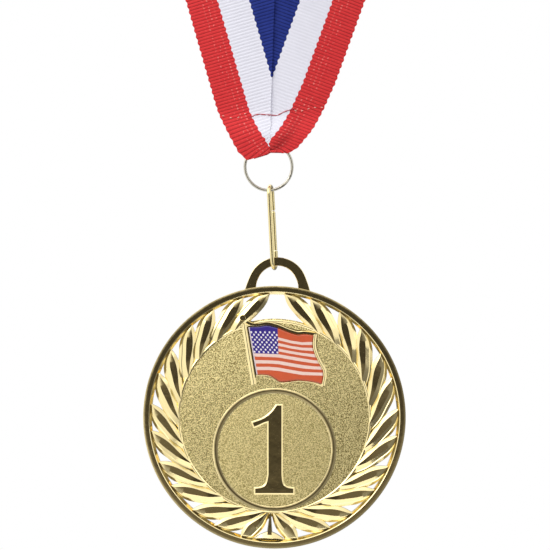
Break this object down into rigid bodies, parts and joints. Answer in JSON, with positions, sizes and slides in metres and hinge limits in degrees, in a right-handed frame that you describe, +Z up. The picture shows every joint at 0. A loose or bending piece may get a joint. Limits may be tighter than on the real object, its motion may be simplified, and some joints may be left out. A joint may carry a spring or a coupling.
{
  "type": "award medal with neck ribbon",
  "caption": "Openwork medal with a laurel wreath, numeral and printed flag, hung by a sprung wire clip and split ring from a striped neck ribbon.",
  "frame": {"origin": "middle of the ribbon at the back of the neck loop, where the medal is held up", "axes": "+Z up, -Y out of the medallion's front, +X to the right seen from the front"},
  "size_m": [0.1378, 0.0993, 0.4249],
  "materials": {
    "gilt_casting": "bright gilt, stippled field",
    "flag_print": "gloss print",
    "nickel_wire": "bright nickel",
    "gilt_wire": "bright gilt",
    "ribbon": "ribbed weave",
    "thread": "sewing thread"
  },
  "bodies": {
    "ribbon": {"neck_ribbon": "ribbon", "ribbon_fold": "ribbon", "fold_stitches": "thread", "mitre_stitches": "thread"},
    "ring": {"split_ring": "nickel_wire"},
    "clip": {"clip_frame": "gilt_wire"},
    "gate": {"clip_gate": "gilt_wire"},
    "medal": {"medallion": "gilt_casting", "flag_print": "flag_print"}
  },
  "joints": [
    {"name": "ring_swing", "type": "hinge", "parent": "ribbon", "child": "ring", "pos_m": [-0.01053, -0.08719, -0.3093], "axis": [1, 0, 0], "range_deg": [-15, 15]},
    {"name": "clip_slide", "type": "hinge", "parent": "ring", "child": "clip", "pos_m": [-0.01053, -0.08719, -0.3142], "axis": [0, 1, 0], "range_deg": [-25, 25]},
    {"name": "gate_open", "type": "hinge", "parent": "clip", "child": "gate", "pos_m": [-0.00922, -0.08494, -0.32649], "axis": [-0.9769, 0.2079, -0.0495], "range_deg": [0, 16], "stiffness_Nm_per_rad": 0.004},
    {"name": "medal_swing", "type": "hinge", "parent": "clip", "child": "medal", "pos_m": [-0.00895, -0.08719, -0.33967], "axis": [1, 0, 0], "range_deg": [-90, 90]}
  ]
}
